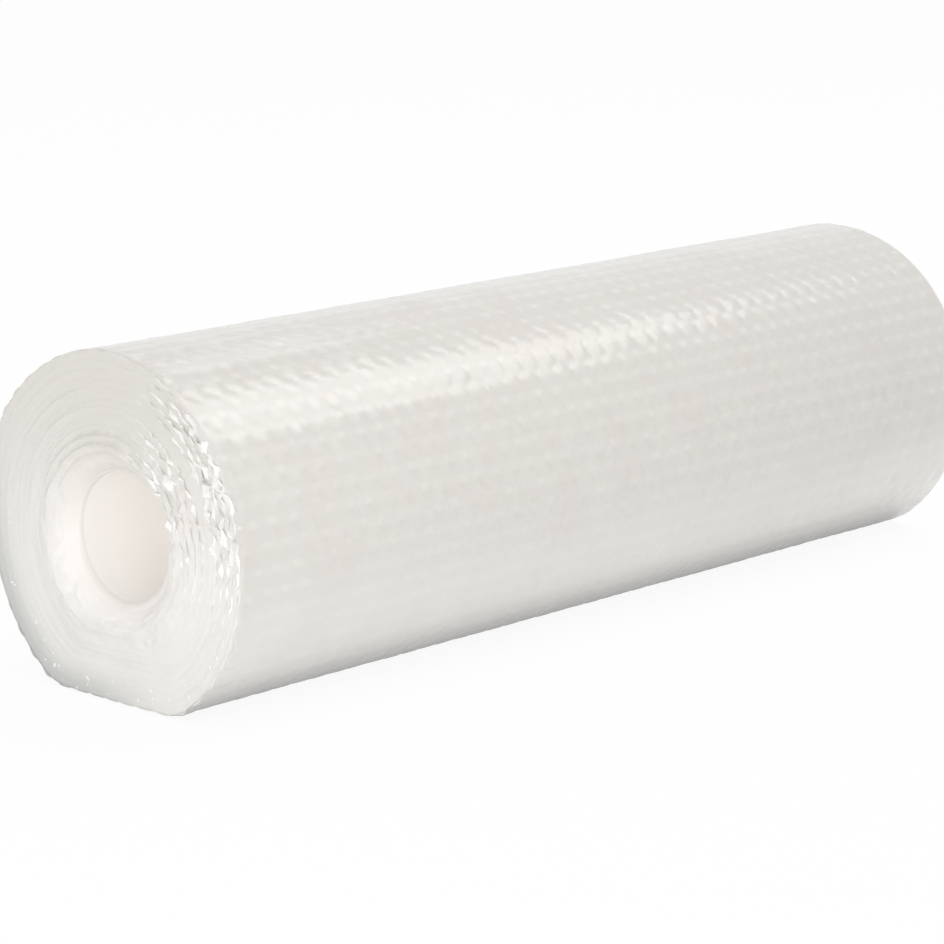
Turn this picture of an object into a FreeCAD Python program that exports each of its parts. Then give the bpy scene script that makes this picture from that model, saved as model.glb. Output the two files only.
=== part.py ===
import FreeCAD, Part
import math
import os

# Bubble wrap wound into a coreless roll, lying on its side along X.
# Millimetres, Z up. The near end, with the sunken mouth, points to -X.

# Roll
SHEET_WIDTH = 500.0
ROLL_DIA = 160.0
HOLE_DIA = 56.0

# How far the roll has settled under its own weight, and its lower corners
SETTLE = 10.0
CORNER_R = 24.0

# Sheet: bubbles inward, so that the outside is the flat film, which bulges a
# little over each row of bubbles
BUBBLE_PITCH = 11.1
SHEET = 3.4
BULGE = 0.6
TURN_GAP = 0.5
INNER_WALL = 2.2

# Mouth: the inner turns are pushed through towards +X
MOUTH_DIA = 80.0
MOUTH_DEPTH = 12.0

PITCH = SHEET + TURN_GAP
HALF_STEP = PITCH / 2.0
ROW_PITCH = BUBBLE_PITCH * math.sin(math.radians(60.0))
CREST_R = (ROLL_DIA + HALF_STEP) / 2.0
HOLE_R = HOLE_DIA / 2.0
MOUTH_R = MOUTH_DIA / 2.0
OVER = 5.0

# The winding is two sets of half turns. The upper ones share the axis of the
# open core, the lower ones an axis half a step nearer to the front. The free
# edge of the sheet lies at the back, where a lower half turn meets an upper.
LOWER_AXIS = -HALF_STEP


def point(y, z):
    return FreeCAD.Vector(0.0, y, z)


def polar(radius, degrees, y=0.0, z=0.0):
    turn = math.radians(degrees)
    return point(y + radius * math.cos(turn), z + radius * math.sin(turn))


def arc(radius, start, end, y=0.0, z=0.0):
    middle = (start + end) / 2.0
    return Part.Arc(
        polar(radius, start, y, z), polar(radius, middle, y, z), polar(radius, end, y, z)
    ).toShape()


def bulges(radius, start, end, y=0.0, z=0.0):
    """Bulges along an arc, one for each row of bubbles; the radius is the crest's."""
    valley = radius - BULGE
    length = math.radians(end - start) * valley
    rows = max(1, round(length / ROW_PITCH))
    step = (end - start) / rows
    edges = []
    for row in range(rows):
        first = start + row * step
        edges.append(Part.Arc(
            polar(valley, first, y, z),
            polar(radius, first + step / 2.0, y, z),
            polar(valley, first + step, y, z),
        ).toShape())
    return edges


def settled(radius):
    """Settled lower half turn: drop below the axis, corner radius and place."""
    share = (radius - HOLE_R) / (CREST_R - HOLE_R)
    drop = radius - SETTLE * share
    corner = CORNER_R * radius / CREST_R
    offset = math.sqrt((radius - corner) ** 2 - (drop - corner) ** 2)
    lean = math.degrees(math.atan2(drop - corner, offset))
    return drop, corner, offset, lean


def upper_wall(radius):
    return [arc(radius, 0.0, 180.0)]


def lower_wall(radius):
    drop, corner, offset, lean = settled(radius)
    front = LOWER_AXIS - offset
    back = LOWER_AXIS + offset
    height = corner - drop
    return [
        arc(radius, 180.0, 180.0 + lean, LOWER_AXIS),
        arc(corner, 180.0 + lean, 270.0, front, height),
        Part.makeLine(point(front, -drop), point(back, -drop)),
        arc(corner, 270.0, 360.0 - lean, back, height),
        arc(radius, 360.0 - lean, 360.0, LOWER_AXIS),
    ]


def outer_turn():
    """Outline of the outer turn, pressed flat where it rests."""
    radius = CREST_R - HALF_STEP
    drop, corner, offset, lean = settled(radius)
    front = LOWER_AXIS - offset
    back = LOWER_AXIS + offset
    height = corner - drop
    valley = BULGE - drop
    edges = bulges(CREST_R, 0.0, 180.0)
    edges += bulges(radius, 180.0, 180.0 + lean, LOWER_AXIS)
    edges += bulges(corner, 180.0 + lean, 270.0, front, height)
    edges.append(Part.makeLine(point(front, valley), point(front, -drop)))
    edges.append(Part.makeLine(point(front, -drop), point(back, -drop)))
    edges.append(Part.makeLine(point(back, -drop), point(back, valley)))
    edges += bulges(corner, 270.0, 360.0 - lean, back, height)
    edges += bulges(radius, 360.0 - lean, 360.0, LOWER_AXIS)
    return edges


def gap_wall(radius, half_turns):
    """One wall of the gap between the turns, from the free edge inward."""
    edges = []
    for index in range(half_turns):
        wall = lower_wall if index % 2 else upper_wall
        edges += wall(radius - index * HALF_STEP)
    return edges


def wound_section():
    """Cross-section of the wound sheet, with the gap between its turns."""
    valley = CREST_R - BULGE
    over_gap = CREST_R - SHEET
    under_gap = CREST_R - PITCH
    whole_turns = int((under_gap - HOLE_R - INNER_WALL) / PITCH)
    inward = whole_turns * PITCH
    edges = outer_turn()
    edges.append(Part.makeLine(point(valley - PITCH, 0.0), point(under_gap, 0.0)))
    edges += gap_wall(under_gap, 2 * whole_turns)
    edges.append(Part.makeLine(point(under_gap - inward, 0.0), point(over_gap - inward, 0.0)))
    edges += gap_wall(over_gap, 2 * whole_turns)
    edges.append(Part.makeLine(point(over_gap, 0.0), point(valley, 0.0)))
    return Part.Face(Part.Wire(Part.__sortEdges__(edges)))


def end_envelope():
    """Turned body: the open core, and how far each turn reaches at the ends."""
    half = SHEET_WIDTH / 2.0
    outer = CREST_R + OVER
    profile = [
        (-half + MOUTH_DEPTH, HOLE_R),
        (-half, MOUTH_R),
        (-half, outer),
        (half, outer),
        (half, MOUTH_R),
        (half + MOUTH_DEPTH, HOLE_R),
    ]
    points = [FreeCAD.Vector(x, r, 0.0) for x, r in profile]
    face = Part.Face(Part.makePolygon(points + points[:1]))
    return face.revolve(FreeCAD.Vector(), FreeCAD.Vector(1, 0, 0), 360.0)


def bubble_wrap_roll():
    reach = SHEET_WIDTH + 2.0 * MOUTH_DEPTH + 2.0 * OVER
    section = wound_section()
    section.translate(FreeCAD.Vector(-reach / 2.0, 0.0, 0.0))
    roll = section.extrude(FreeCAD.Vector(reach, 0.0, 0.0)).common(end_envelope())
    box = roll.optimalBoundingBox(False, False)
    roll.translate(FreeCAD.Vector(-box.Center.x, -box.Center.y, -box.ZMin))
    return roll.Solids[0] if len(roll.Solids) == 1 else roll


os.makedirs("parts", exist_ok=True)
bubble_wrap_roll().exportStep("parts/bubble_wrap_roll.step")
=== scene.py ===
import math

import bpy
import numpy as np
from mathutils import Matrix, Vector

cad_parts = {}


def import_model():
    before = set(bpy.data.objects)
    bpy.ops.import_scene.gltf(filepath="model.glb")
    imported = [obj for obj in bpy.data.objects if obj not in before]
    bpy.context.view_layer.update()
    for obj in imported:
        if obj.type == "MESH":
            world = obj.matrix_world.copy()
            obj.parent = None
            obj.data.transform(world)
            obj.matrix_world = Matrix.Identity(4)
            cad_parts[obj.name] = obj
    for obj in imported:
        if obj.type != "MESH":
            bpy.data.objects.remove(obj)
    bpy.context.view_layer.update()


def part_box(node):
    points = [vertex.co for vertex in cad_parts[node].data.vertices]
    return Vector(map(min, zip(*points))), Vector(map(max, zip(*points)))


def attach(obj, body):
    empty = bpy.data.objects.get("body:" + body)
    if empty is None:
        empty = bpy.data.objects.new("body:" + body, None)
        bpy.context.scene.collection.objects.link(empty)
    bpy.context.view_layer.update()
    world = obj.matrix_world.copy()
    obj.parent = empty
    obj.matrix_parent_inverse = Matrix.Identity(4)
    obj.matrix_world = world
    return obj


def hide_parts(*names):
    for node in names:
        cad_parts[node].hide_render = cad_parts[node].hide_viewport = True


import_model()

# The roll, in metres: it lies along X, its near end towards -X, its axis at height AXIS_Z
NODE = "bubble_wrap_roll"
lo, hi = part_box(NODE)
NEAR = -1
FAR = 1
NEAR_X = lo[0]
MOUTH_DEPTH = 0.012
FAR_X = hi[0] - MOUTH_DEPTH
ROLL_DIA = 0.160
HOLE_R = 0.028
MOUTH_R = 0.040
SHEET = 0.0034
BULGE = 0.0006
GAP = 0.0005
SETTLE = 0.010
CORNER = 0.024
PITCH = SHEET + GAP
HALF_STEP = PITCH / 2
CREST_R = (ROLL_DIA + HALF_STEP) / 2
LOWER_R = CREST_R - HALF_STEP
AXIS_Z = LOWER_R - SETTLE * (LOWER_R - HOLE_R) / (CREST_R - HOLE_R)
SKIN_GAP = 0.0005
SKIN_R = CREST_R - BULGE - SKIN_GAP
END_TURN = 13.5 * 360
FLOOR_CLEAR = 0.0004

# The bubbles, in rows along the roll; their domes hang inwards from the film
BUBBLE_PITCH = 0.01111
ROW = BUBBLE_PITCH * math.sin(math.radians(60))
BUBBLE_R = 0.0050
DOME_R = 0.0047
DOME_DEPTH = 0.0026
COLS = 45
COL_STEP = (FAR_X - NEAR_X) / COLS


# Shape of the winding
SLOPE_STEP = 0.0006


def settled_radius(r, below):
    """Distance from the axis to a settled lower half turn, by angle below the axis."""
    share = np.clip((r - HOLE_R) / (CREST_R - HOLE_R), 0, None)
    drop = r - SETTLE * share
    corner = CORNER * r / CREST_R
    off = np.sqrt(np.maximum((r - corner) ** 2 - (drop - corner) ** 2, 0))
    lean = np.arctan2(drop - corner, off)
    flat = np.arctan2(drop, off)
    c, s = np.cos(below), np.sin(below)
    along = off * c + (drop - corner) * s
    bend = along + np.sqrt(np.maximum(along ** 2 - off ** 2 - (drop - corner) ** 2 + corner ** 2, 0))
    out = np.where(below <= lean, r, bend)
    return np.where(below >= flat, drop / np.maximum(s, 1e-6), out)


def wind(start_r, turn):
    """Point (y, z) of a winding that starts at the back with start_r; turn in degrees."""
    half = np.floor(turn / 180 + 1e-9)
    lower = (half % 2) == 1
    r = start_r - half * HALF_STEP
    a = np.radians(turn - 180 * half)
    below = np.where(a <= math.pi / 2, a, math.pi - a)
    rr = np.where(lower, settled_radius(r, below), r)
    sign = np.where(lower, -1.0, 1.0)
    y = sign * rr * np.cos(a) - np.where(lower, HALF_STEP, 0)
    z = sign * rr * np.sin(a)
    return y, z + AXIS_Z


class Path:
    """A winding walked by its length, from one turn angle to another."""

    def __init__(self, start_r, first, last, step=0.25):
        n = int((last - first) / step) + 1
        self.turn = np.linspace(first, last, n)
        self.y, self.z = wind(start_r, self.turn)
        d = np.hypot(np.diff(self.y), np.diff(self.z))
        self.s = np.concatenate([[0], np.cumsum(d)])
        self.length = self.s[-1]

    def at(self, s, height):
        """Point (y, z) at length s, moved outwards by height."""
        y = np.interp(s, self.s, self.y)
        z = np.interp(s, self.s, self.z)
        ahead, behind = s + SLOPE_STEP, s - SLOPE_STEP
        ty = np.interp(ahead, self.s, self.y) - np.interp(behind, self.s, self.y)
        tz = np.interp(ahead, self.s, self.z) - np.interp(behind, self.s, self.z)
        n = np.maximum(np.hypot(ty, tz), 1e-12)
        return y + height * tz / n, z - height * ty / n

    def angle(self, s):
        """Turn angle at length s."""
        return np.interp(s, self.s, self.turn)

    def along(self, turn):
        """Length at a turn angle."""
        return np.interp(turn, self.turn, self.s)


# Seeded noise
NOISE_CELLS = 256


def lattice_noise(u, v, seed):
    """Smooth value noise in -1..1 over (u, v), one cell per unit."""
    table = np.random.default_rng(seed).uniform(-1, 1, (NOISE_CELLS, NOISE_CELLS))
    iu, iv = np.floor(u).astype(int), np.floor(v).astype(int)
    fu, fv = u - iu, v - iv
    fu, fv = fu * fu * (3 - 2 * fu), fv * fv * (3 - 2 * fv)
    left, right = iu % NOISE_CELLS, (iu + 1) % NOISE_CELLS
    low, high = iv % NOISE_CELLS, (iv + 1) % NOISE_CELLS
    below = table[left, low] * (1 - fu) + table[right, low] * fu
    above = table[left, high] * (1 - fu) + table[right, high] * fu
    return below * (1 - fv) + above * fv


def noise_along(place, size, seed, row=0.0):
    """The same noise along a line, with cells of one size."""
    return lattice_noise(place / size, 0 * place + row, seed)


def noise_over(x, y, size, seed):
    """The same noise over a surface, with cells of size[0] by size[1]."""
    return lattice_noise(x / size[0], y / size[1], seed)


def crease(x, y, size, seed):
    """Sharp-edged creases with cells of size[0] by size[1]; their heights lie around zero."""
    u, v = x / size[0], y / size[1]
    coarse = np.abs(lattice_noise(u, v, seed))
    fine = np.abs(lattice_noise(2.3 * u, 2.3 * v, seed + 1))
    return 1 - coarse - 0.4 * fine - 0.6


def gate(value, low, rise, high, fall):
    """1 between two values; it rises from low over rise and falls to 0 at high over fall."""
    return np.clip((value - low) / rise, 0, 1) * np.clip((high - value) / fall, 0, 1)


# Meshes
def add_mesh(name, points, faces, uv, smooth=True):
    """One object of points, faces that all have as many corners, and a UV for each point."""
    mesh = bpy.data.meshes.new(name)
    points = np.asarray(points, np.float32).reshape(-1, 3)
    faces = np.asarray(faces, np.int32)
    uv = np.asarray(uv, np.float32).reshape(-1, 2)
    corners = faces.shape[1]
    mesh.vertices.add(len(points))
    mesh.vertices.foreach_set("co", points.ravel())
    mesh.loops.add(faces.size)
    mesh.loops.foreach_set("vertex_index", faces.ravel())
    mesh.polygons.add(len(faces))
    mesh.polygons.foreach_set("loop_start", np.arange(0, faces.size, corners, dtype=np.int32))
    mesh.polygons.foreach_set("loop_total", np.full(len(faces), corners, np.int32))
    mesh.polygons.foreach_set("use_smooth", np.full(len(faces), smooth))
    mesh.update(calc_edges=True)
    layer = mesh.uv_layers.new(name="UVMap")
    layer.data.foreach_set("uv", uv[faces.ravel()].ravel())
    mesh.validate()
    ob = bpy.data.objects.new(name, mesh)
    bpy.context.scene.collection.objects.link(ob)
    return ob


def add_joined(name, parts, smooth=True):
    """One mesh of several parts, each with points, UVs, faces and a material index."""
    points, uvs, faces, slots = [], [], [], []
    count = 0
    for part_points, part_uv, part_faces, slot in parts:
        points.append(part_points.reshape(-1, 3))
        uvs.append(part_uv.reshape(-1, 2))
        faces.append(part_faces + count)
        slots.append(np.full(len(part_faces), slot, np.int32))
        count += len(points[-1])
    ob = add_mesh(name, np.concatenate(points), np.concatenate(faces), np.concatenate(uvs), smooth)
    ob.data.polygons.foreach_set("material_index", np.concatenate(slots))
    return ob


def grid_faces(rows, cols, flip=False):
    """Four-cornered faces between the points of a grid."""
    i, j = np.meshgrid(np.arange(rows - 1), np.arange(cols - 1), indexing="ij")
    a = (i * cols + j).ravel()
    quad = np.stack([a, a + 1, a + cols + 1, a + cols], -1)
    return quad[:, ::-1] if flip else quad


def above_floor(x, y, z):
    """Points that stay clear of the floor."""
    return np.stack([x, y, np.maximum(z, FLOOR_CLEAR)], -1)


# Cut edges at the ends: heights in metres, places and lengths around the roll in degrees
MOUTH_LIP = 0.003
DISH = {NEAR: 0.0022, FAR: 0.0008}
EDGE_INSET = 0.0012
EDGE_SEED = {NEAR: 51, FAR: 61}
EDGE_WAVES = {NEAR: 1.0, FAR: 0.5}
SWAY = 0.0009
SWAY_CIRCLE = 1.4
DRIFT = 0.0006
DRIFT_DEG = 47
NICKS = 0.00014
NICKS_DEG = 9
INNER_WAVES = 0.0009
INNER_DEG = 16
LOOSE_TURN = 153
LOOSE_WIDTH = 33


def mouth_x(radius, end):
    """Place of a turn's edge along X; the inner turns are pushed along by up to MOUTH_DEPTH."""
    share = np.clip((MOUTH_R + MOUTH_LIP - radius) / (MOUTH_R + MOUTH_LIP - HOLE_R), 0, 1)
    push = MOUTH_DEPTH * (1 - np.sqrt(np.maximum(1 - share ** 1.6, 0)))
    return (NEAR_X if end == NEAR else FAR_X) + push


def loose_zone(turn):
    """1 where the edges were roughed up, on the front above the middle, falling to 0 elsewhere."""
    return np.exp(-((turn % 360 - LOOSE_TURN) / LOOSE_WIDTH) ** 2)


def edge_x(turn, end):
    """Place along X of the cut edge at a turn angle, with the unevenness of a hand-wound roll."""
    radius = SKIN_R - turn / 360 * PITCH
    share = np.clip((SKIN_R - radius) / (SKIN_R - MOUTH_R), 0, 1)
    seed = EDGE_SEED[end]
    side = np.radians(turn)
    inner = gate(turn / 360, low=7.5, rise=2, high=13.3, fall=1.6)
    wave = SWAY * lattice_noise(2 + SWAY_CIRCLE * np.cos(side), 2 + SWAY_CIRCLE * np.sin(side), seed)
    wave += DRIFT * noise_along(turn, DRIFT_DEG, seed + 1, row=0.5) * (0.3 + share)
    wave += NICKS * noise_along(turn, NICKS_DEG, seed + 2, row=0.5)
    wave += INNER_WAVES * inner * noise_along(turn, INNER_DEG, seed + 3, row=0.5)
    dish = DISH[end] * np.sin(math.pi * share)
    return mouth_x(radius, end) - end * (dish + EDGE_INSET + EDGE_WAVES[end] * wave)


# Outer turn: heights, reaches and sizes in metres, along the roll first and then around it
outer = Path(CREST_R - BULGE, 0, 360)
ROWS = int(round(outer.length / ROW))
ROW_STEP = outer.length / ROWS
CELL_TABLE = (3, 128, 64)
FILM_PER_ROW = 6
FILM_PER_COL = 7
FILM_OVERHANG = 0.0004
CUSHION_FLAT = 1.15
CUSHION_LOW = 0.16
CUSHION_SPREAD = 0.20
CUSHION_TILT = 0.00022
FILM_WAVES = 0.00018
FILM_WAVE_SIZE = (0.024, 0.013)
FILM_RIPPLES = 0.00005
FILM_RIPPLE_SIZE = (0.005, 0.006)
FILM_CREASE_SIZE = (0.0042, 0.0050)
RIM_STAND = 0.0021
RIM_WAVE = 0.0112
RIM_REACH = 0.007
LOOSE_STAND = 0.0016
LOOSE_REACH = 0.0045
FREE_EDGE_DEG = 20


def bubble_cell(x, s, seed):
    """Offsets from the nearest bubble's middle over its radius, and three numbers for that bubble."""
    row = np.floor(s / ROW_STEP)
    u = (x - NEAR_X) / COL_STEP + 0.5 * (row % 2)
    col = np.floor(u)
    du = (u - col - 0.5) * COL_STEP / BUBBLE_R
    dv = (s / ROW_STEP - row - 0.5) * ROW_STEP / BUBBLE_R
    table = np.random.default_rng(seed).random(CELL_TABLE)
    pick = table[:, row.astype(int) % CELL_TABLE[1], col.astype(int) % CELL_TABLE[2]]
    return du, dv, pick


def lattice_uv(x, s):
    """Columns and rows of bubbles."""
    return np.stack([(x - NEAR_X) / COL_STEP, s / ROW_STEP], -1)


def rim_bumps(s):
    """How far the near rim stands out where the cut goes through bubbles, along the outer turn."""
    turn = outer.angle(s)
    wave = np.sin(math.pi * (s / RIM_WAVE + 0.3 * noise_along(s, 0.03, 12))) ** 2
    uneven = 0.6 + 0.4 * noise_along(s, 0.02, 13)
    inside = gate(turn, low=0, rise=FREE_EDGE_DEG, high=360, fall=FREE_EDGE_DEG)
    return RIM_STAND * wave * uneven * (1 - loose_zone(turn)) * inside


def cushions(x, s):
    """A low cushion over each bubble, each with its own height and tilt."""
    du, dv, pick = bubble_cell(x, s, 5)
    cushion = np.clip(CUSHION_FLAT * (1 - (du ** 2 + dv ** 2) ** 1.5), 0, 1)
    tilt = CUSHION_TILT * ((pick[1] - 0.5) * du + (pick[2] - 0.5) * dv)
    return cushion * (BULGE * (CUSHION_LOW + CUSHION_SPREAD * pick[0]) + tilt)


def outer_film():
    """Flat film of the outer turn, bulging a little over each bubble."""
    rows, cols = ROWS * FILM_PER_ROW + 1, COLS * FILM_PER_COL + 1
    s = np.linspace(0, outer.length, rows)
    turn = outer.angle(s)
    start = edge_x(turn, NEAR)[:, None] - FILM_OVERHANG
    stop = edge_x(turn, FAR)[:, None] + FILM_OVERHANG
    X = start + (stop - start) * np.linspace(0, 1, cols)
    S = np.repeat(s[:, None], cols, 1)
    lift = cushions(X, S)
    lift += FILM_WAVES * noise_over(X, S, FILM_WAVE_SIZE, 3)
    lift += FILM_RIPPLES * noise_over(X, S, FILM_RIPPLE_SIZE, 4)
    lift += np.exp(-(X - start) / RIM_REACH) * rim_bumps(s)[:, None]
    loose = np.exp(-(X - start) / LOOSE_REACH) * loose_zone(turn)[:, None]
    lift += LOOSE_STAND * loose * crease(X, S, FILM_CREASE_SIZE, 9)
    lift[:, [0, -1]] = SKIN_R - CREST_R + BULGE
    y, z = outer.at(S, lift)
    return add_mesh("outer_film", above_floor(X, y, z), grid_faces(rows, cols), lattice_uv(X, S))


# Domes of the outer turn's bubbles: rings are shares of the radius, falls are shares of the depth
DOME_SPOKES = 12
DOME_RINGS = np.array([1.0, 0.90, 0.56])
DOME_FALL = np.array([0.0, 0.62, 0.94])
DOME_GAP = 0.0003
DOME_JITTER = 0.0002
DOME_DEPTHS = (0.85, 1.1)
DOME_LEAN = 0.12
DOME_INSET = 0.0018


def dome_faces():
    """Triangles of one dome: rings of points, and a last point in the middle."""
    faces = []
    spokes, last = DOME_SPOKES, (len(DOME_RINGS) - 1) * DOME_SPOKES
    for ring in range(0, last, spokes):
        for i in range(spokes):
            j = (i + 1) % spokes
            faces.append([ring + i, ring + j, ring + spokes + j])
            faces.append([ring + i, ring + spokes + j, ring + spokes + i])
    for i in range(spokes):
        faces.append([last + i, last + (i + 1) % spokes, last + spokes])
    return np.array(faces)


def bubbles():
    """The bubbles of the outer turn, domes that point inwards from the film."""
    rng = np.random.default_rng(17)
    row, col = np.meshgrid(np.arange(ROWS), np.arange(COLS + 1), indexing="ij")
    keep = (col < COLS) & ((row % 2 == 0) | (col > 0))
    row, col = row[keep], col[keep]
    x = NEAR_X + (col + 0.5 - 0.5 * (row % 2)) * COL_STEP
    x = x + rng.uniform(-DOME_JITTER, DOME_JITTER, row.size)
    s = (row + 0.5) * ROW_STEP
    deep = DOME_DEPTH * rng.uniform(*DOME_DEPTHS, row.size)
    lean = rng.uniform(-DOME_LEAN, DOME_LEAN, (2, row.size))
    side = np.arange(DOME_SPOKES) * 2 * math.pi / DOME_SPOKES
    du = np.append((DOME_RINGS[:, None] * np.cos(side)).ravel(), 0)
    dv = np.append((DOME_RINGS[:, None] * np.sin(side)).ravel(), 0)
    fall = np.append(np.repeat(DOME_FALL, DOME_SPOKES), 1)
    X = x[:, None] + DOME_R * du
    S = s[:, None] + DOME_R * dv
    depth = deep[:, None] * fall * (1 + lean[0][:, None] * du + lean[1][:, None] * dv)
    turn = outer.angle(S)
    X = np.clip(X, edge_x(turn, NEAR) + DOME_INSET, edge_x(turn, FAR) - DOME_INSET)
    y, z = outer.at(S, -DOME_GAP - depth)
    first = np.arange(row.size) * len(du)
    faces = (dome_faces()[None] + first[:, None, None]).reshape(-1, 3)
    return add_mesh("bubbles", above_floor(X, y, z), faces, lattice_uv(X, S))


# Mass of the inner turns: ACROSS goes from one turn to the next, SKIN_PLACES from end to end
STEP_DEG = 1.25
PER_TURN = int(360 / STEP_DEG)
EDGE_POINTS = int(END_TURN / STEP_DEG) + 1
ACROSS = np.array([0, 0.10, 0.26, 0.42, 0.58, 0.76, 0.90, 0.975, 1.0])[:, None]
SKIN_PLACES = np.concatenate([[0, 0.004, 0.009], np.linspace(0.02, 0.98, 58), [0.991, 0.996, 1]])
SINK = 0.0030
SINK_REACH = 0.004
SKIN_RIM_REACH = 0.006
BORE_RINGS = 40
BORE_ROWS = 18
SWELL_WAVE = 0.0111
SWELL_SIZE = 0.011
VALLEY = 0.00022
VALLEY_CHANGE = 0.0002
VALLEY_AT_MOUTH = 0.0012
VALLEY_SIZE = (0.02, 0.5)
RIDGE = 0.0002
CREASE_DEPTH = 0.0011
CREASE_SIZE = (0.0075, 0.0075)
SKIN_SLOT = 0
EDGE_SLOT = 1
CORE_SLOT = 2


def body_winding():
    """Turn angles of the body's edges, points (y, z) on them, and which lie on the core."""
    turn = np.arange(EDGE_POINTS + PER_TURN) * STEP_DEG
    y, z = wind(SKIN_R, np.minimum(turn, END_TURN + 360))
    core = turn > END_TURN + 1e-6
    y = np.where(core, HOLE_R * np.cos(np.radians(turn)), y)
    z = np.where(core, HOLE_R * np.sin(np.radians(turn)) + AXIS_Z, z)
    return turn, y, z, core


def skin_part(turn, y, z):
    """Skin under the outer film, sunk to leave room for the domes; the free edge is closed by a wall."""
    path = Path(SKIN_R, 0, 360)
    arc = outer.along(turn)
    near, far = edge_x(turn, NEAR), edge_x(turn, FAR)
    X = near + (far - near) * SKIN_PLACES[:, None]
    lift = rim_bumps(arc) * np.exp(-(X - near) / SKIN_RIM_REACH)
    lift = lift - SINK * np.clip(np.minimum(X - near, far - X) / SINK_REACH, 0, 1)
    moved = np.abs(lift) > 1e-6
    skin_y, skin_z = path.at(path.along(turn) + 0 * X, lift)
    points = above_floor(X, np.where(moved, skin_y, y), np.where(moved, skin_z, z))
    rows, cols = X.shape
    start = np.arange(rows - 1) * cols
    wall = np.stack([start + cols - 1, start, start + cols, start + 2 * cols - 1], -1)
    faces = np.concatenate([grid_faces(rows, cols), wall])
    return points, lattice_uv(X, 0 * X + arc), faces, SKIN_SLOT


def core_part():
    """Wall of the open core."""
    a = np.radians(np.arange(PER_TURN + 1) * STEP_DEG)
    t = np.linspace(0, 1, BORE_RINGS)[:, None]
    X = NEAR_X + MOUTH_DEPTH + (FAR_X - NEAR_X) * t + 0 * a
    points = np.stack([X, 0 * X + HOLE_R * np.cos(a), 0 * X + HOLE_R * np.sin(a) + AXIS_Z], -1)
    uv = np.stack([(X - NEAR_X) / COL_STEP, 0 * X + a * BORE_ROWS / (2 * math.pi)], -1)
    return points, uv, grid_faces(BORE_RINGS, PER_TURN + 1, True), CORE_SLOT


def edge_relief(turn, S, Y, Z):
    """How far the cut face lies in between the turns' edges; less than 0 on the ridges."""
    turns = turn / 360
    swell = np.abs(np.cos(math.pi * S / SWELL_WAVE)) * (0.6 + 0.4 * noise_along(S, SWELL_SIZE, 71))
    mouth = np.exp(-((turns - 9.5) / 1.6) ** 2 - ((turn % 360 - 80) / 50) ** 2)
    change = VALLEY_CHANGE * noise_over(S, ACROSS, VALLEY_SIZE, 72)
    valley = (4 * ACROSS * (1 - ACROSS)) * (VALLEY + change + VALLEY_AT_MOUTH * mouth)
    between = (ACROSS > 0) & (ACROSS < 1)
    ridge = RIDGE * np.exp(-((ACROSS - 0.2 - 0.55 * swell) / 0.16) ** 2) * between
    deep = gate(ACROSS + turns, low=8, rise=1, high=13.4, fall=1.5)
    return valley + CREASE_DEPTH * deep * crease(Y, Z, CREASE_SIZE, 81) - ridge


def edges_part(end, turn, y, z, core, rim):
    """Edges of all turns at one end, as strips from each turn to the next one inwards."""
    def across(outward, inward):
        inward = inward[PER_TURN:PER_TURN + EDGE_POINTS]
        return outward[:EDGE_POINTS] * (1 - ACROSS) + inward * ACROSS

    here = turn[:EDGE_POINTS]
    steps = np.hypot(np.diff(y[:EDGE_POINTS]), np.diff(z[:EDGE_POINTS]))
    S = np.concatenate([[0], np.cumsum(steps)]) + 0 * ACROSS
    rim_y, rim_z = y.copy(), z.copy()
    rim_y[:PER_TURN + 1], rim_z[:PER_TURN + 1] = rim[:, 1], rim[:, 2]
    Y, Z = across(rim_y, y), across(rim_z, z)
    radius = np.where(core, HOLE_R, SKIN_R - turn / 360 * PITCH)
    uneven = np.where(core, mouth_x(HOLE_R, end), edge_x(turn, end)) - mouth_x(radius, end)
    X = mouth_x(across(radius, radius), end) + across(uneven, uneven)
    X = X - end * edge_relief(here, S, Y, Z)
    uv = np.stack([ACROSS + here / 360, S / ROW_STEP], -1)
    return np.stack([X, Y, Z], -1), uv, grid_faces(len(ACROSS), EDGE_POINTS, end == FAR), EDGE_SLOT


def milky_body():
    """The mass of inner turns, closed: skin under the outer film, the turns' edges, open core."""
    turn, y, z, core = body_winding()
    first = slice(0, PER_TURN + 1)
    skin = skin_part(turn[first], y[first], z[first])
    parts = [skin, core_part()]
    for end, rim in ((NEAR, skin[0][0]), (FAR, skin[0][-1])):
        parts.append(edges_part(end, turn, y, z, core, rim))
    return add_joined("milky_body", parts)


# Crumpled film at the near end: first and last in degrees of a turn, jitters as shares of a facet
CRUMPLE_FIRST = 92
CRUMPLE_LAST = 235
CRUMPLE_ROWS = 4
CRUMPLE_INWARD = 0.6
CRUMPLE_SINK = 0.0002
CRUMPLE_STEP = 0.5
ALONG_JITTER = 0.45
OUT_JITTER = 0.16
FACET_TILT = 1.1
TALL_LEAST = 0.1


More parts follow.
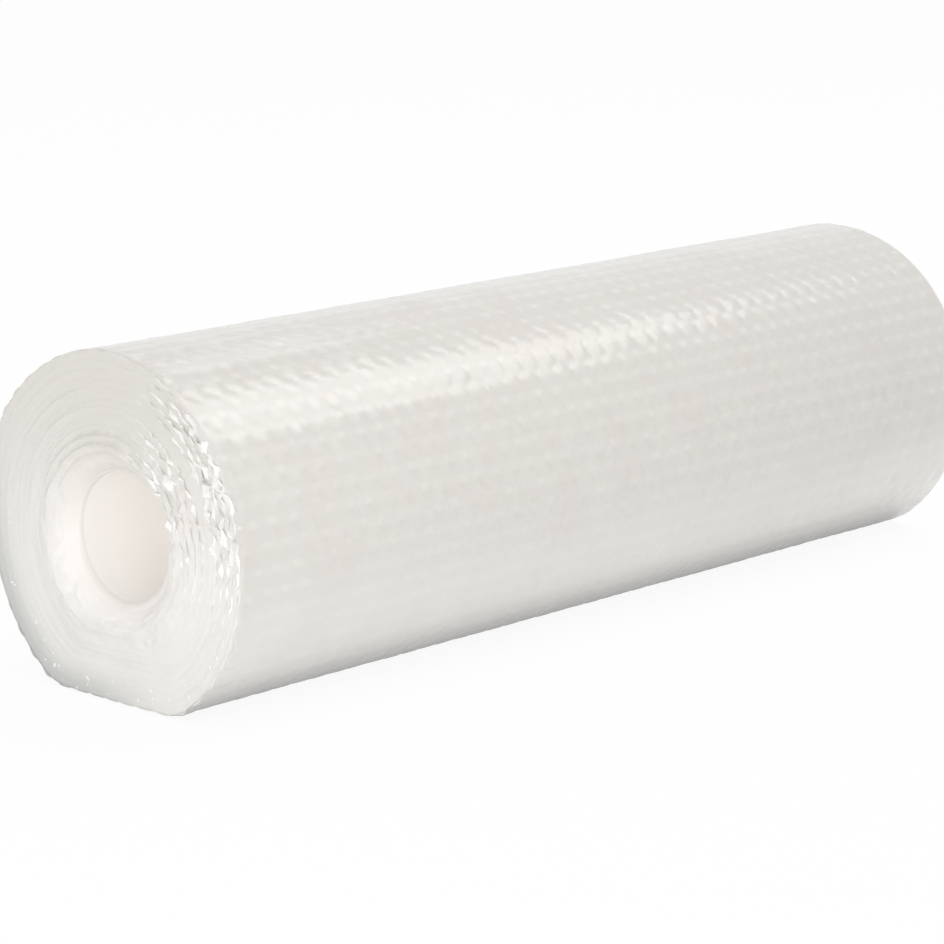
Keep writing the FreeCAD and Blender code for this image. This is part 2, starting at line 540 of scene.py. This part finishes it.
def crumple(name, end, starts, reach, size, amount, seed):
    """Crumpled film that stands out of the cut edges in flat facets, high on the front side."""
    rng = np.random.default_rng(seed)
    parts = []
    for start in starts:
        turned = start * 360
        path = Path(SKIN_R, turned + CRUMPLE_FIRST, turned + CRUMPLE_LAST, CRUMPLE_STEP)
        count = int(path.length / size)
        s = np.linspace(0, path.length, count)
        S, D = np.meshgrid(s, np.linspace(-CRUMPLE_INWARD, 1, CRUMPLE_ROWS), indexing="ij")
        S = S + size * rng.uniform(-ALONG_JITTER, ALONG_JITTER, S.shape)
        D = D + rng.uniform(-OUT_JITTER, OUT_JITTER, D.shape)
        turn = path.angle(S)
        loose = loose_zone(turn)
        lift = amount * loose * rng.uniform(-1, 1, D.shape) * np.clip(FACET_TILT - D, 0.1, 1)
        tall = TALL_LEAST + (1 - TALL_LEAST) * rng.random((count, 1)) ** 1.5
        X = edge_x(turn, end) - end * loose * reach * np.where(D < 0, D * tall, D)
        y, z = path.at(S, lift - CRUMPLE_SINK)
        quads = grid_faces(count, CRUMPLE_ROWS, end == NEAR)
        other_way = rng.random(len(quads))[:, None] < 0.5
        one = np.where(other_way, quads[:, [0, 1, 2]], quads[:, [0, 1, 3]])
        two = np.where(other_way, quads[:, [0, 2, 3]], quads[:, [1, 2, 3]])
        parts.append((above_floor(X, y, z), lattice_uv(X, S), np.concatenate([one, two]), 0))
    return add_joined(name, parts, smooth=False)


# Nodes of the materials
UV_SHIFT = 64
MM = 1000


def new_material(name):
    """A material, its node tree and its main shader."""
    mat = bpy.data.materials.new(name)
    mat.use_nodes = True
    nt = mat.node_tree
    return mat, nt, nt.nodes["Principled BSDF"]


def math_node(nt, op, a, b=None, c=None, clamp=False):
    """A math node's outcome; a, b and c are sockets or numbers."""
    n = nt.nodes.new("ShaderNodeMath")
    n.operation = op
    n.use_clamp = clamp
    for i, v in enumerate((a, b, c)):
        if isinstance(v, (int, float)):
            n.inputs[i].default_value = v
        elif v is not None:
            nt.links.new(v, n.inputs[i])
    return n.outputs[0]


def plus(nt, a, b):
    return math_node(nt, "ADD", a, b)


def times(nt, a, b):
    return math_node(nt, "MULTIPLY", a, b)


def times_plus(nt, a, factor, more, clamp=False):
    """a times factor, and more added; each is a socket or a number."""
    return math_node(nt, "MULTIPLY_ADD", a, factor, more, clamp)


def length(nt, a, b):
    return math_node(nt, "SQRT", plus(nt, times(nt, a, a), times(nt, b, b)))


def split(nt, vector):
    """The three parts of a vector or a colour."""
    n = nt.nodes.new("ShaderNodeSeparateXYZ")
    nt.links.new(vector, n.inputs[0])
    return tuple(n.outputs)


def object_place(nt):
    return nt.nodes.new("ShaderNodeTexCoord").outputs["Object"]


def noise(nt, place, scale, detail=2.0, rough=0.5):
    """Noise in 0..1, with scale cells per unit of place."""
    n = nt.nodes.new("ShaderNodeTexNoise")
    n.inputs["Scale"].default_value = scale
    n.inputs["Detail"].default_value = detail
    n.inputs["Roughness"].default_value = rough
    nt.links.new(place, n.inputs["Vector"])
    return n.outputs["Fac"]


def fade(nt, value, start, stop):
    """0 at start and 1 at stop, with a soft change between; stop may be the smaller one."""
    n = nt.nodes.new("ShaderNodeMapRange")
    n.interpolation_type = "SMOOTHSTEP"
    nt.links.new(value, n.inputs[0])
    n.inputs[1].default_value = start
    n.inputs[2].default_value = stop
    return n.outputs[0]


def ramp(nt, fac, stops):
    """Colour along fac, from stops of a position and a colour."""
    n = nt.nodes.new("ShaderNodeValToRGB")
    el = n.color_ramp.elements
    while len(el) < len(stops):
        el.new(0.5)
    for e, (pos, col) in zip(el, stops):
        e.position = pos
        e.color = (*col, 1)
    nt.links.new(fac, n.inputs[0])
    return n.outputs[0]


def mix_color(nt, fac, color, other):
    n = nt.nodes.new("ShaderNodeMix")
    n.data_type = "RGBA"
    nt.links.new(fac, n.inputs["Factor"])
    nt.links.new(color, n.inputs["A"])
    n.inputs["B"].default_value = (*other, 1)
    return n.outputs["Result"]


def bump(nt, socket, height, distance):
    b = nt.nodes.new("ShaderNodeBump")
    b.inputs["Distance"].default_value = distance
    nt.links.new(height, b.inputs["Height"])
    nt.links.new(b.outputs[0], socket)


def bubble_cells(nt, shift_u=0.0, shift_v=0.0):
    """Millimetres from the nearest bubble's middle: along, around, straight; and its random numbers."""
    u, v, _ = split(nt, nt.nodes.new("ShaderNodeUVMap").outputs[0])
    v = plus(nt, v, shift_v + UV_SHIFT)
    row = math_node(nt, "FLOOR", v)
    odd = math_node(nt, "MODULO", row, 2.0)
    u = times_plus(nt, odd, 0.5, plus(nt, u, shift_u + UV_SHIFT))
    along = times(nt, plus(nt, math_node(nt, "FRACT", u), -0.5), COL_STEP * MM)
    around = times(nt, plus(nt, math_node(nt, "FRACT", v), -0.5), ROW_STEP * MM)
    cell = nt.nodes.new("ShaderNodeCombineXYZ")
    nt.links.new(math_node(nt, "FLOOR", u), cell.inputs[0])
    nt.links.new(row, cell.inputs[1])
    random = nt.nodes.new("ShaderNodeTexWhiteNoise")
    random.noise_dimensions = "2D"
    nt.links.new(cell.outputs[0], random.inputs["Vector"])
    return along, around, length(nt, along, around), split(nt, random.outputs["Color"])


# Film materials: haze is the share that covers what lies under the film. The ranges in millimetres are
# distances from a bubble's middle, and the zones are heights and places along the roll in metres.
CLOUD_SCALE = 34.0
WRINKLE_SCALE = 420.0
RAGGED_SCALE = 700.0
RAGGED_MM = 2.6
WEB_MM = (3.8, 5.5)
# Reach of the painted highlight over a bubble's middle
BAND_HIGHLIGHT_MM = (4.9, 1.0)
DENT_GLINT_MM = (4.2, 1.6)
DENT_DEEP_MM = (3.2, 1.6)
DENT_JITTER_MM = 1.2
DENT_SHIFT = (0.5, 0.33)
DENT_LONG = 0.7
LINE_MM = (3.4, 0.4)
LOW_ZONE = (0.085, 0.035)
HIGH_ZONE = (0.09, 0.13)
FOOT_ZONE = (0.027, 0.0)
CLOSE_ZONE = (-0.06, -0.20)
FAR_ZONE = (-0.06, 0.24)
TINT_TONES = (0.36, 0.47, 0.56, 0.66)
LOW_SHADE_SHARE = 0.8
FAR_SHADE_SHARE = 0.4
FOOT_SHADOW_SHARE = 0.9
LOW_HAZE = 0.24
WEB_HAZE = 0.005
WEB_HAZE_HIGH = 0.013
WEB_LOSS_CLOSE = 0.65
LINE_HAZE = 0.052
LINE_LOSS_LOW = 0.032
# Painted glints: how far they cover the film, how white they are, and how much of that is lost low on the
# roll
GLINT_HAZE = 0.4
GLINT_SHARE = 0.135
GLINT_LOSS_LOW = 0.7
BAND_HIGHLIGHT_SHARE = 1.3
DIMPLE_HEIGHT = 0.05
GLINT_WHITE = (0.97, 0.965, 0.955)
# Painted shade low on the roll
LOW_SHADE = (0.82, 0.80, 0.765)
# Painted shade towards the far end
FAR_SHADE = (0.745, 0.735, 0.71)
# Painted shadow at the roll's foot
FOOT_SHADOW = (0.56, 0.55, 0.54)


def film_zones(nt, place):
    """Soft zones of the outer turn, by height and by place along the roll."""
    x, _, z = split(nt, place)
    return {
        "low": fade(nt, z, *LOW_ZONE),
        "high": fade(nt, z, *HIGH_ZONE),
        "foot": fade(nt, z, *FOOT_ZONE),
        "close": fade(nt, x, *CLOSE_ZONE),
        "far": fade(nt, x, *FAR_ZONE),
    }


def small_dents(nt, place):
    """The ragged dents between the bubbles: their painted glint, depth, and the line that joins a row of
    them.
    """
    along, around, _, pick = bubble_cells(nt, *DENT_SHIFT)
    ragged = noise(nt, place, RAGGED_SCALE, 2.0, 0.6)
    off_along = plus(nt, along, times_plus(nt, pick[0], DENT_JITTER_MM, -DENT_JITTER_MM / 2))
    off_around = plus(nt, around, times_plus(nt, pick[1], DENT_JITTER_MM, -DENT_JITTER_MM / 2))
    away = length(nt, times(nt, off_along, DENT_LONG), off_around)
    away = times_plus(nt, ragged, RAGGED_MM, away)
    # The dent's white is a painted glint: white in the film's colour where a lamp would glint
    white = times(nt, fade(nt, away, *DENT_GLINT_MM), times_plus(nt, pick[2], 0.8, 0.2))
    line = fade(nt, math_node(nt, "ABSOLUTE", around), *LINE_MM)
    return white, fade(nt, away, *DENT_DEEP_MM), line


def film_pattern(nt, place, zones, clouds, haze):
    """What shows of the bubbles in the outer film: its haze, tone, painted glints and highlights, and
    dimples.
    """
    low, high, close = zones["low"], zones["high"], zones["close"]
    away, pick = bubble_cells(nt)[2:]
    web = times(nt, fade(nt, away, *WEB_MM), times_plus(nt, high, WEB_HAZE_HIGH, WEB_HAZE))
    web = times(nt, web, times_plus(nt, close, -WEB_LOSS_CLOSE, 1.0))
    white, dimple, line = small_dents(nt, place)
    line = times(nt, line, times_plus(nt, low, -LINE_LOSS_LOW, LINE_HAZE))
    painted_glints = times(nt, white, times_plus(nt, low, -GLINT_LOSS_LOW * GLINT_SHARE, GLINT_SHARE))
    # Painted highlights: soft white in the middle of bubbles high on the roll towards the near end, where
    # the key lamp's band lies
    band_highlights = times(nt, fade(nt, away, *BAND_HIGHLIGHT_MM), fade(nt, pick[1], 0.1, 0.9))
    band_highlights = times(nt, band_highlights, times(nt, close, high))
    painted_glints = times_plus(nt, band_highlights, BAND_HIGHLIGHT_SHARE * GLINT_SHARE, painted_glints)
    haze = plus(nt, times_plus(nt, low, LOW_HAZE, haze), web)
    haze = times_plus(nt, line, clouds, haze)
    haze = times_plus(nt, painted_glints, GLINT_HAZE, haze, clamp=True)
    tone = times_plus(nt, pick[2], 0.16, times(nt, clouds, 0.86))
    return haze, tone, painted_glints, dimple


def film_tints(nt, tone, color):
    """The film's colour, which drifts a little with its tone."""
    r, g, b = color
    warm = (r, g * 0.98, b * 0.975)
    green = (r * 0.99, g, b * 0.975)
    pink = (r, g * 0.995, b)
    return ramp(nt, tone, list(zip(TINT_TONES, (warm, color, green, pink))))


def film_material(name, color, haze, gloss, wrinkle, steepness=0.7, patterned=False):
    """Clear film with a milky haze that comes and goes, glossy on top; when patterned, its colour also
    carries painted glints, highlights and shade.
    """
    mat, nt, bsdf = new_material(name)
    place = object_place(nt)
    clouds = noise(nt, place, CLOUD_SCALE)
    cover = times_plus(nt, clouds, haze[1] - haze[0], haze[0])
    height = times(nt, noise(nt, place, WRINKLE_SCALE, 3.0, 0.55), wrinkle)
    if patterned:
        zones = film_zones(nt, place)
        cover, tone, painted_glints, dimple = film_pattern(nt, place, zones, clouds, cover)
        height = times_plus(nt, dimple, DIMPLE_HEIGHT, height)
        # Painted glints and highlights: white mixed into the film's colour
        shade = mix_color(nt, painted_glints, film_tints(nt, tone, color), GLINT_WHITE)
        # Painted shade: the film darker low on the roll
        shade = mix_color(nt, times(nt, zones["low"], LOW_SHADE_SHARE), shade, LOW_SHADE)
        # Painted shade: the film darker towards the far end
        shade = mix_color(nt, times(nt, zones["far"], FAR_SHADE_SHARE), shade, FAR_SHADE)
        # Painted shadow: the film much darker at its foot, next to the floor
        shade = mix_color(nt, times(nt, zones["foot"], FOOT_SHADOW_SHARE), shade, FOOT_SHADOW)
    else:
        shade = film_tints(nt, clouds, color)
    nt.links.new(shade, bsdf.inputs["Base Color"])
    graze = nt.nodes.new("ShaderNodeLayerWeight")
    graze.inputs["Blend"].default_value = 0.5
    steep = math_node(nt, "POWER", graze.outputs["Facing"], 4.0)
    nt.links.new(times_plus(nt, steep, steepness, cover, clamp=True), bsdf.inputs["Alpha"])
    bsdf.inputs["Roughness"].default_value = 0.5
    bsdf.inputs["Specular IOR Level"].default_value = 0.2
    bsdf.inputs["Coat Weight"].default_value = 1.0
    bsdf.inputs["Coat Roughness"].default_value = gloss
    bsdf.inputs["Coat IOR"].default_value = 1.6
    bump(nt, bsdf.inputs["Coat Normal"], height, 0.001)
    return mat


# Body materials
TURN_SHADES = ((0.84, 0.82, 0.79), (0.90, 0.88, 0.855), (0.96, 0.945, 0.925))
# Core wall: paler than the cut edges, painted light for the daylight that comes through the turns
CORE_GLOW_SHADES = ((0.975, 0.95, 0.92), (0.985, 0.962, 0.935), (0.995, 0.975, 0.955))
EDGE_SHADES = ((0.76, 0.742, 0.71), (0.775, 0.757, 0.73), (0.79, 0.775, 0.75))
# Painted light on the inner turns' edges, near the core
INNER_EDGE_GLOW = (0.83, 0.805, 0.775)
# Painted shade high on the cut face
HIGH_EDGE_SHADE = (0.645, 0.625, 0.585)
GLOW = (0.97, 0.945, 0.915)
RIM_SHADE = (0.52, 0.53, 0.51)
GLINT_SPECKS = (0.95, 0.95, 0.94)
SHADE_TONES = (0.0, 0.5, 1.0)
EDGE_TONES = (0.35, 0.5, 0.65)
BRUSH_STRETCH = (1.4, 0.5, 1.0)
BRUSH_SHARE = 0.35
HIGH_SHADE_SHARE = 0.9
GLOW_SHARE = 0.35
GLOW_Y = 0.010
GLOW_DROP = 0.009
GLOW_PER_M = (38.0, 42.0)
OUTER_WEB_MM = (2.4, 5.0)
INNER_WEB_MM = (3.0, 5.6)
INNER_WEB_SHIFT = (0.37, 0.45)
OUTER_WEB = 0.32
INNER_WEB = 0.12
BODY_MOTTLE = 0.4
GRAIN_SCALE = 500.0
GRAIN_HEIGHT = 0.00012


def matt(bsdf):
    """A half matt surface."""
    bsdf.inputs["Roughness"].default_value = 0.45
    bsdf.inputs["Specular IOR Level"].default_value = 0.3


def body_material(name, shades, cells):
    """Milky mass of many turns; cells is how much the bubbles that rest on it show."""
    mat, nt, bsdf = new_material(name)
    outer_web = fade(nt, bubble_cells(nt)[2], *OUTER_WEB_MM)
    inner_web = fade(nt, bubble_cells(nt, *INNER_WEB_SHIFT)[2], *INNER_WEB_MM)
    mottle = noise(nt, object_place(nt), 26.0, 3.0)
    tone = times_plus(nt, inner_web, INNER_WEB * cells, times(nt, outer_web, OUTER_WEB * cells))
    tone = plus(nt, tone, 0.25 - 0.17 * cells)
    tone = times_plus(nt, mottle, BODY_MOTTLE, tone, clamp=True)
    shade = ramp(nt, tone, list(zip(SHADE_TONES, shades)))
    nt.links.new(shade, bsdf.inputs["Base Color"])
    matt(bsdf)
    return mat


def brushed_arcs(nt, uv):
    """Fine arcs along the turns, from noise stretched along them."""
    stretch = nt.nodes.new("ShaderNodeMapping")
    stretch.inputs["Scale"].default_value = BRUSH_STRETCH
    nt.links.new(uv, stretch.inputs[0])
    return noise(nt, stretch.outputs[0], 1.0, 3.0, 0.6)


def core_glow(nt, y, z, mottle):
    """A soft oval of painted light around the open core."""
    per_y, per_z = GLOW_PER_M
    off_y = times_plus(nt, y, per_y, -per_y * GLOW_Y)
    off_z = times_plus(nt, z, per_z, -per_z * (AXIS_Z - GLOW_DROP))
    return fade(nt, times_plus(nt, mottle, 0.5, length(nt, off_y, off_z)), 1.60, 0.95)


def end_material():
    """Edges of many turns seen end on: faint brushed arcs; painted light around the core, painted shade
    high up and low at the rim, and painted glints there.
    """
    mat, nt, bsdf = new_material("turn_edges")
    uv = nt.nodes.new("ShaderNodeUVMap").outputs[0]
    place = object_place(nt)
    turn = split(nt, uv)[0]
    _, y, z = split(nt, place)
    mottle = noise(nt, place, 55.0, 3.0)
    tone = times_plus(nt, brushed_arcs(nt, uv), BRUSH_SHARE, times(nt, mottle, 1 - BRUSH_SHARE))
    # Painted shade: the outer turns' edges darker low down on the +Y side
    rim = times(nt, fade(nt, turn, 5.0, 0.6), fade(nt, y, -0.045, 0.03))
    rim = times(nt, rim, fade(nt, z, 0.13, 0.03))
    # Painted glints: small white specks low on the outer turns' edges
    glint_specks = times(nt, fade(nt, noise(nt, place, 460.0, 0.0), 0.74, 0.82), fade(nt, z, 0.10, 0.05))
    glint_specks = times(nt, glint_specks, fade(nt, turn, 5.5, 1.5))
    shade = ramp(nt, tone, list(zip(EDGE_TONES, EDGE_SHADES)))
    # Painted light: the inner turns' edges paler towards the open core, carrying on the core's glow
    shade = mix_color(nt, fade(nt, turn, 9.5, 12.5), shade, INNER_EDGE_GLOW)
    # Painted shade: the cut face darker high up
    shade = mix_color(nt, times(nt, fade(nt, z, 0.05, 0.14), HIGH_SHADE_SHARE), shade, HIGH_EDGE_SHADE)
    # Painted light: a pale glow around the open core
    shade = mix_color(nt, times(nt, core_glow(nt, y, z, mottle), GLOW_SHARE), shade, GLOW)
    shade = mix_color(nt, rim, shade, RIM_SHADE)
    shade = mix_color(nt, glint_specks, shade, GLINT_SPECKS)
    nt.links.new(shade, bsdf.inputs["Base Color"])
    matt(bsdf)
    bump(nt, bsdf.inputs["Normal"], noise(nt, place, GRAIN_SCALE, 3.0, 0.6), GRAIN_HEIGHT)
    return mat


# Build
film = film_material(
    "outer_film", (0.885, 0.865, 0.825), haze=(0.56, 0.66), gloss=0.135, wrinkle=0.035, patterned=True)
domes = film_material(
    "bubble_walls", (0.97, 0.955, 0.93), haze=(0.20, 0.30), gloss=0.20, wrinkle=0.02, steepness=0.5)
crumpled = film_material(
    "crumpled_film", (0.97, 0.965, 0.96), haze=(0.55, 0.90), gloss=0.05, wrinkle=0.03)
turns = body_material("milky_turns", TURN_SHADES, cells=1)
# The core wall's pale colour is painted light from the daylight that comes through the turns
core = body_material("glowing_core_wall", CORE_GLOW_SHADES, cells=0)
ends = end_material()

body = milky_body()
pieces = [
    (outer_film(), film),
    (bubbles(), domes),
    (body, turns),
    (crumple("near_rim_crumple", NEAR, range(0, 5),
             reach=0.0060, size=0.0029, amount=0.0022, seed=31), crumpled),
    (crumple("near_mouth_crumple", NEAR, range(6, 11),
             reach=0.0056, size=0.0027, amount=0.0021, seed=32), crumpled),
]
for ob, mat in pieces:
    ob.data.materials.append(mat)
    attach(ob, "root")
    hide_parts(NODE)
body.data.materials.append(ends)
body.data.materials.append(core)


# Floor, world, lamps and camera: VIEW_FROM counts in VIEW_UNIT from the near end's foot, with the
# angles in degrees
FLOOR_SIZE = 16
FLOOR_Z = -0.0002
FLOOR_WHITE = 0.92
FLOOR_MIRRORED = 0.35
WORLD_LIGHT = 0.80
CORE_LAMP_DIA = 0.04
CORE_LAMP_IN = 0.095
AIM = Vector((0.0, 0.0, 0.07))
LENS_PIXELS = 3567.0
PHOTO_PIXELS = 944.0
SENSOR_MM = 36.0
VIEW_UNIT = 0.0806
VIEW_FROM = (-11.818, -13.673, 5.149)
VIEW_DOWN = 12.298
VIEW_ASIDE = 46.863


def floor():
    """A plain floor, nearly as white as the backdrop where the camera sees it."""
    bpy.ops.mesh.primitive_plane_add(size=FLOOR_SIZE, location=(0, 0, FLOOR_Z))
    ob = bpy.context.object
    ob.name = "floor"
    mat = bpy.data.materials.new("floor")
    mat.use_nodes = True
    nt = mat.node_tree
    nt.nodes.clear()
    out = nt.nodes.new("ShaderNodeOutputMaterial")
    mix = nt.nodes.new("ShaderNodeMixShader")
    plain = nt.nodes.new("ShaderNodeBsdfDiffuse")
    plain.inputs["Color"].default_value = (0.95, 0.95, 0.95, 1)
    white = nt.nodes.new("ShaderNodeEmission")
    path = nt.nodes.new("ShaderNodeLightPath")
    mirrored = times(nt, path.outputs["Is Glossy Ray"], FLOOR_MIRRORED)
    seen = times(nt, path.outputs["Is Camera Ray"], FLOOR_WHITE)
    nt.links.new(math_node(nt, "MAXIMUM", seen, mirrored), mix.inputs[0])
    nt.links.new(plain.outputs[0], mix.inputs[1])
    nt.links.new(white.outputs[0], mix.inputs[2])
    nt.links.new(mix.outputs[0], out.inputs[0])
    ob.data.materials.append(mat)


def world():
    """White where the camera sees it, a little less as light on the object."""
    w = bpy.data.worlds.new("studio")
    bpy.context.scene.world = w
    w.use_nodes = True
    nt = w.node_tree
    bg = nt.nodes["Background"]
    path = nt.nodes.new("ShaderNodeLightPath")
    bg.inputs["Color"].default_value = (1, 1, 1, 1)
    strength = times_plus(nt, path.outputs["Is Camera Ray"], 1 - WORLD_LIGHT, WORLD_LIGHT)
    nt.links.new(strength, bg.inputs["Strength"])


def lamp(name, shape, power, color):
    """An area lamp; power in watts."""
    light = bpy.data.lights.new(name, "AREA")
    light.shape = shape
    light.energy = power
    light.color = color
    ob = bpy.data.objects.new(name, light)
    bpy.context.scene.collection.objects.link(ob)
    return ob


def core_lamp():
    """Stands for the daylight that reaches the core through the turns; the camera doesn't see it."""
    ob = lamp("core_lamp", "DISK", power=0.0058, color=(1.0, 0.98, 0.95))
    ob.data.size = CORE_LAMP_DIA
    ob.location = (NEAR_X + CORE_LAMP_IN, 0, AXIS_Z)
    ob.rotation_euler = (0, math.radians(90), 0)
    ob.visible_camera = False


def softbox(name, toward, distance, size, power, color=(1, 1, 1)):
    """A large lamp that lies toward a side of AIM and shines at it."""
    ob = lamp(name, "RECTANGLE", power, color)
    ob.data.size, ob.data.size_y = size
    d = Vector(toward).normalized()
    ob.location = AIM + d * distance
    ob.rotation_euler = (-d).to_track_quat("-Z", "Y").to_euler()


def camera():
    """The photograph's view."""
    cam = bpy.data.cameras.new("camera")
    cam.sensor_width = SENSOR_MM
    cam.lens = LENS_PIXELS / PHOTO_PIXELS * SENSOR_MM
    cam.clip_start = 0.05
    ob = bpy.data.objects.new("camera", cam)
    x, y, z = VIEW_FROM
    ob.location = (NEAR_X + x * VIEW_UNIT, y * VIEW_UNIT, z * VIEW_UNIT)
    ob.rotation_euler = (math.radians(90 - VIEW_DOWN), 0, math.radians(-VIEW_ASIDE))
    bpy.context.scene.collection.objects.link(ob)
    bpy.context.scene.camera = ob


floor()
world()
core_lamp()
softbox("key", (0.53, -0.16, 0.88), distance=2.2, size=(0.94, 1.4), power=10.4, color=(1.0, 0.985, 0.955))
softbox("glint", (0.55, 0.45, 0.68), distance=1.6, size=(0.3, 0.3), power=0.2)
softbox("fill", (-0.86, -0.50, 0.05), distance=1.0, size=(0.9, 0.22), power=2.45)
camera()
bpy.context.scene.view_settings.view_transform = "Standard"
